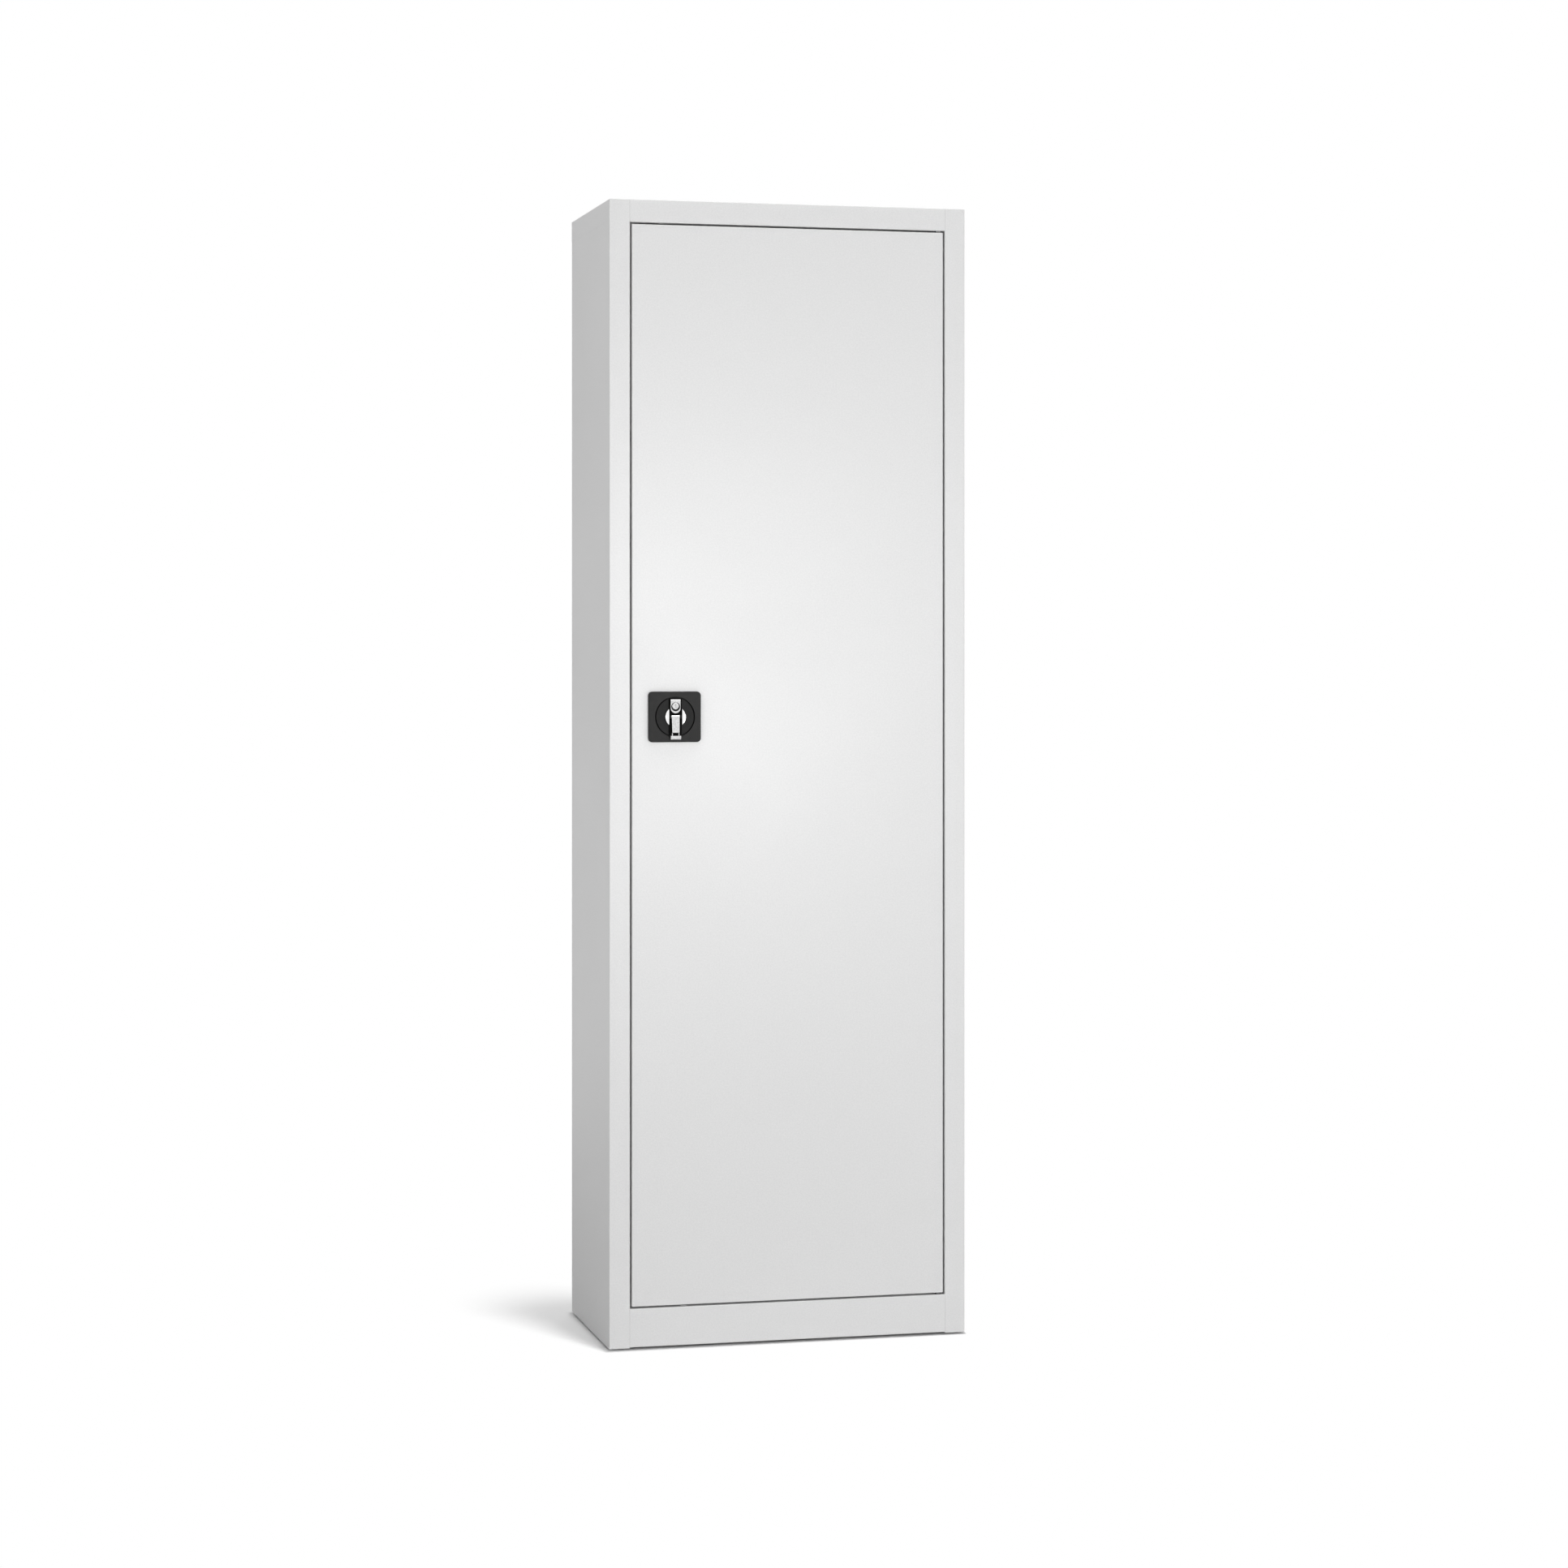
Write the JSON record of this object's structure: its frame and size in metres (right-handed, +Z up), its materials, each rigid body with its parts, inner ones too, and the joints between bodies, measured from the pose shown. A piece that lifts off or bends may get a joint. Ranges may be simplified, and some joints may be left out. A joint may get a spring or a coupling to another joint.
{
  "type": "broom cupboard",
  "caption": "Tall narrow sheet-steel broom cupboard with a flush hinged door, top shelf, hook rail and a fold-out lever lock that drives locking rods.",
  "frame": {"origin": "on the floor, under the middle of the box that holds the cupboard and its lever", "axes": "+X to the right seen from the front, +Y towards the back, +Z up"},
  "size_m": [0.595, 0.3446, 1.85],
  "materials": {
    "powder_coat": "fine-textured satin powder coat, light grey",
    "zinc_steel": "zinc-plated steel",
    "black_plastic": "fine-grained black moulding",
    "dark_steel": "blackened steel",
    "dark_plastic": "smooth black moulding",
    "chrome": "polished chrome plate on a zinc casting",
    "nylon": "grey nylon",
    "glide_plastic": "black plastic",
    "rubber": "black rubber"
  },
  "bodies": {
    "cabinet": {"left_side_panel": "powder_coat", "right_side_panel": "powder_coat", "top_panel": "powder_coat", "floor_panel": "powder_coat", "back_panel": "powder_coat", "floor_glides": "glide_plastic", "door_buffers": "rubber", "top_hinge_pin": "dark_steel", "bottom_hinge_pin": "dark_steel", "shelf": "powder_coat", "shelf_brackets": "powder_coat", "hook_rail": "powder_coat", "broom_hooks": "zinc_steel", "hook_rivets": "zinc_steel"},
    "door": {"door_skin": "powder_coat", "door_stiffener": "powder_coat", "hinge_plates": "zinc_steel", "top_hinge_bush": "nylon", "bottom_hinge_bush": "nylon", "lock_plate": "black_plastic", "lock_case": "zinc_steel", "lock_case_cover": "zinc_steel", "lock_screws": "zinc_steel", "cover_screws": "zinc_steel", "rod_guides": "nylon"},
    "handle": {"lock_rotor": "dark_plastic", "lock_hub": "chrome", "lever_pin": "zinc_steel", "lever_spacers": "dark_plastic", "cylinder_housing": "chrome", "cylinder_ring": "dark_plastic", "drive_spindle": "zinc_steel", "drive_pinion": "zinc_steel", "latch_cam": "zinc_steel", "cam_screw": "zinc_steel"},
    "lever": {"lock_lever": "chrome"},
    "cylinder": {"key_cylinder": "chrome"},
    "top_rod": {"top_rod": "dark_steel"},
    "bottom_rod": {"bottom_rod": "dark_steel"}
  },
  "joints": [
    {"name": "door_swing", "type": "hinge", "parent": "cabinet", "child": "door", "pos_m": [0.2535, -0.15175, 0.94], "axis": [0, 0, 1], "range_deg": [0, 110]},
    {"name": "handle_turn", "type": "hinge", "parent": "door", "child": "handle", "pos_m": [-0.1912, -0.15775, 1.0178], "axis": [0, 1, 0], "range_deg": [0, 90]},
    {"name": "lever_fold", "type": "hinge", "parent": "handle", "child": "lever", "pos_m": [-0.1912, -0.16615, 1.0178], "axis": [-1, 0, 0], "range_deg": [0, 75]},
    {"name": "key_turn", "type": "hinge", "parent": "handle", "child": "cylinder", "pos_m": [-0.1912, -0.16475, 1.0354], "axis": [0, 1, 0], "range_deg": [0, 90]},
    {"name": "top_rod_slide", "type": "slide", "parent": "door", "child": "top_rod", "axis": [0, 0, 1], "range_m": [0, 0.01885]},
    {"name": "bottom_rod_slide", "type": "slide", "parent": "door", "child": "bottom_rod", "axis": [0, 0, -1], "range_m": [0, 0.01885]}
  ],
  "couplings": [
    {"joint": "top_rod_slide", "follows": "handle_turn", "m_per_rad": 0.012},
    {"joint": "bottom_rod_slide", "follows": "handle_turn", "m_per_rad": 0.012}
  ]
}
